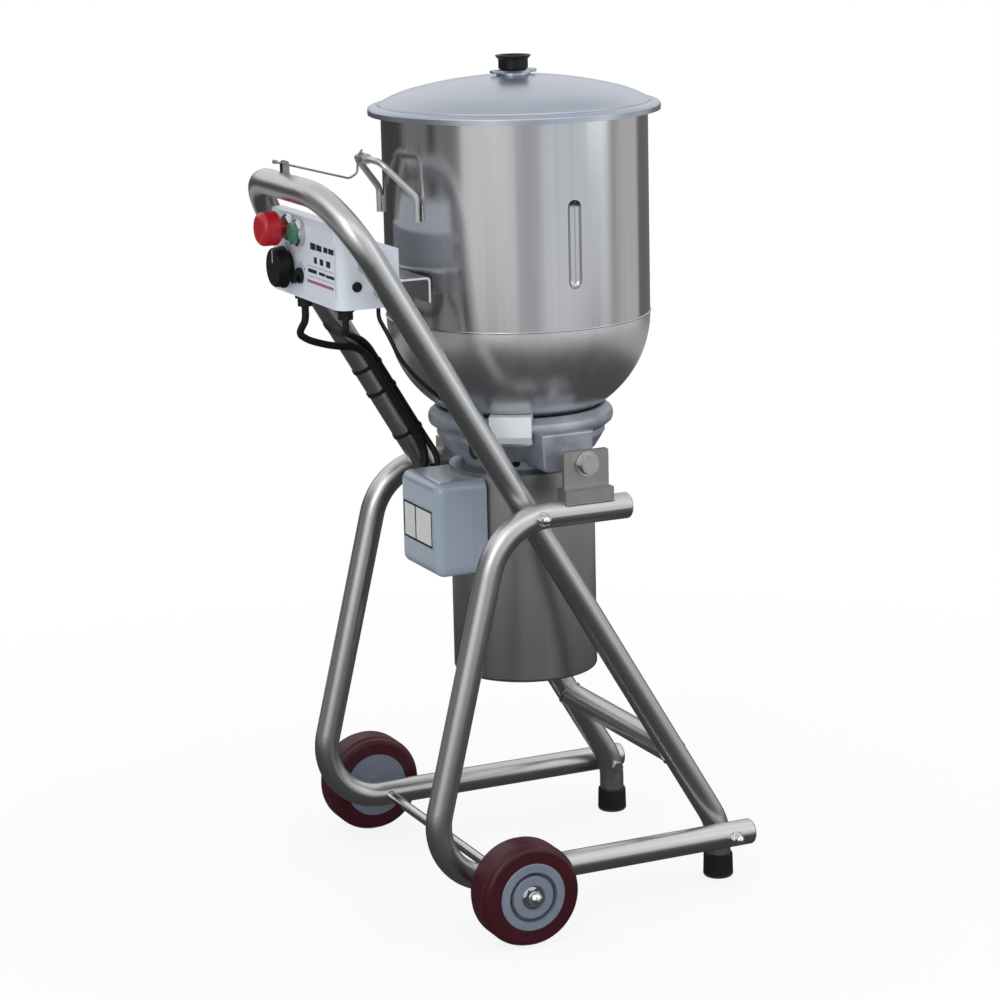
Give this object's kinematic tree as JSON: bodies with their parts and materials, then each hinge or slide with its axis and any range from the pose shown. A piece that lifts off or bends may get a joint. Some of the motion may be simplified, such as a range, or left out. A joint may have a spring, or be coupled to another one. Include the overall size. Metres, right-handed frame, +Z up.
{
  "type": "tilting blender",
  "caption": "Tilting cup blender on a wheeled tube stand: lidded steel cup on a cast base over a motor housing, push handle with control box",
  "frame": {"origin": "on the floor, under the middle of the machine's box", "axes": "+Z up, +Y the side it pours to, -Y the operator's side, +X the operator's right; the tilting axis is parallel to X at z 0.560 m, y 0.0495 m"},
  "size_m": [0.5618, 0.545, 1.0303],
  "materials": {
    "tube_steel": "satin",
    "bright_steel": "polished",
    "zinc_steel": "bright",
    "sheet_steel": "brushed",
    "cast_alloy": "cast",
    "lid_alloy": "satin",
    "core_steel": "plain",
    "box_enamel": "enamel",
    "grey_plastic": "matte",
    "black_plastic": "semi-gloss",
    "matte_black": "matte",
    "red_plastic": "gloss",
    "green_plastic": "gloss",
    "black_rubber": "matte",
    "wine_tyre": "satin",
    "hub_grey": "satin"
  },
  "bodies": {
    "stand": {"left_side_frame": "tube_steel", "right_side_frame": "tube_steel", "tube_end_caps": "tube_steel", "handle_frame": "tube_steel", "cross_tube": "tube_steel", "wheel_axle": "bright_steel", "axle_hardware": "zinc_steel", "frame_bolts": "zinc_steel", "left_pivot_bracket": "tube_steel", "right_pivot_bracket": "tube_steel", "front_feet": "black_rubber", "control_box": "box_enamel", "control_box_cover": "box_enamel", "box_standoffs": "tube_steel", "box_screws": "zinc_steel", "panel_collars": "bright_steel", "contact_blocks": "matte_black", "stop_channel": "sheet_steel", "cup_buffers": "black_rubber", "latch_eye": "bright_steel", "box_glands": "matte_black", "arm_cables": "black_rubber", "cable_loops": "black_rubber", "cable_ties": "matte_black"},
    "left_wheel": {"left_wheel_tyre": "wine_tyre", "left_wheel_hub": "hub_grey"},
    "right_wheel": {"right_wheel_tyre": "wine_tyre", "right_wheel_hub": "hub_grey"},
    "tilting_unit": {"cup": "bright_steel", "cup_bottom": "bright_steel", "cup_handle": "bright_steel", "base_casting": "cast_alloy", "tilt_pins": "zinc_steel", "cup_gasket": "black_rubber", "cup_bolts": "zinc_steel", "lantern": "cast_alloy", "motor_sleeve": "sheet_steel", "motor_top_shield": "cast_alloy", "motor_bottom_shield": "cast_alloy", "fan_guard": "matte_black", "stator": "core_steel", "motor_bearings": "bright_steel", "shaft_seal": "bright_steel", "interlock_cover": "sheet_steel", "interlock_switch": "matte_black", "terminal_box_base": "grey_plastic", "terminal_box_lid": "grey_plastic", "terminal_glands": "matte_black"},
    "rotor": {"motor_shaft": "core_steel", "motor_fan": "matte_black", "blades": "bright_steel", "blade_nut": "bright_steel"},
    "lid_set": {"lid": "lid_alloy", "lid_boss": "lid_alloy", "lid_knob": "black_plastic"},
    "latch": {"latch_wire": "bright_steel"},
    "stop_button": {"stop_button": "red_plastic"},
    "start_button": {"start_button": "green_plastic"},
    "speed_knob": {"speed_knob": "black_plastic"},
    "selector_knob": {"selector_knob": "black_plastic"}
  },
  "joints": [
    {"name": "left_wheel_spin", "type": "hinge", "parent": "stand", "child": "left_wheel", "pos_m": [-0.2415, -0.0715, 0.0635], "axis": [1, 0, 0], "continuous": true},
    {"name": "right_wheel_spin", "type": "hinge", "parent": "stand", "child": "right_wheel", "pos_m": [0.2415, -0.0715, 0.0635], "axis": [1, 0, 0], "continuous": true},
    {"name": "cup_tilt", "type": "hinge", "parent": "stand", "child": "tilting_unit", "pos_m": [0, 0.0495, 0.56], "axis": [-1, 0, 0], "range_deg": [0, 100], "deforming": ["cable_loops"]},
    {"name": "blade_spin", "type": "hinge", "parent": "tilting_unit", "child": "rotor", "pos_m": [0, 0.0495, 0.42], "axis": [0, 0, 1], "continuous": true},
    {"name": "lid_lift", "type": "slide", "parent": "tilting_unit", "child": "lid_set", "axis": [0, 0, 1], "range_m": [0, 0.12]},
    {"name": "latch_swing", "type": "hinge", "parent": "stand", "child": "latch", "pos_m": [-0.01, -0.2457, 0.918], "axis": [1, 0, 0], "range_deg": [0, 55]},
    {"name": "stop_press", "type": "slide", "parent": "stand", "child": "stop_button", "axis": [0, 1, 0], "range_m": [0, 0.005], "stiffness_N_per_m": 800},
    {"name": "start_press", "type": "slide", "parent": "stand", "child": "start_button", "axis": [0, 1, 0], "range_m": [0, 0.0035], "stiffness_N_per_m": 500},
    {"name": "speed_turn", "type": "hinge", "parent": "stand", "child": "speed_knob", "pos_m": [-0.047, -0.2305, 0.7905], "axis": [0, 1, 0], "range_deg": [0, 270]},
    {"name": "selector_turn", "type": "hinge", "parent": "stand", "child": "selector_knob", "pos_m": [-0.008, -0.2305, 0.7845], "axis": [0, 1, 0], "range_deg": [0, 80]}
  ]
}
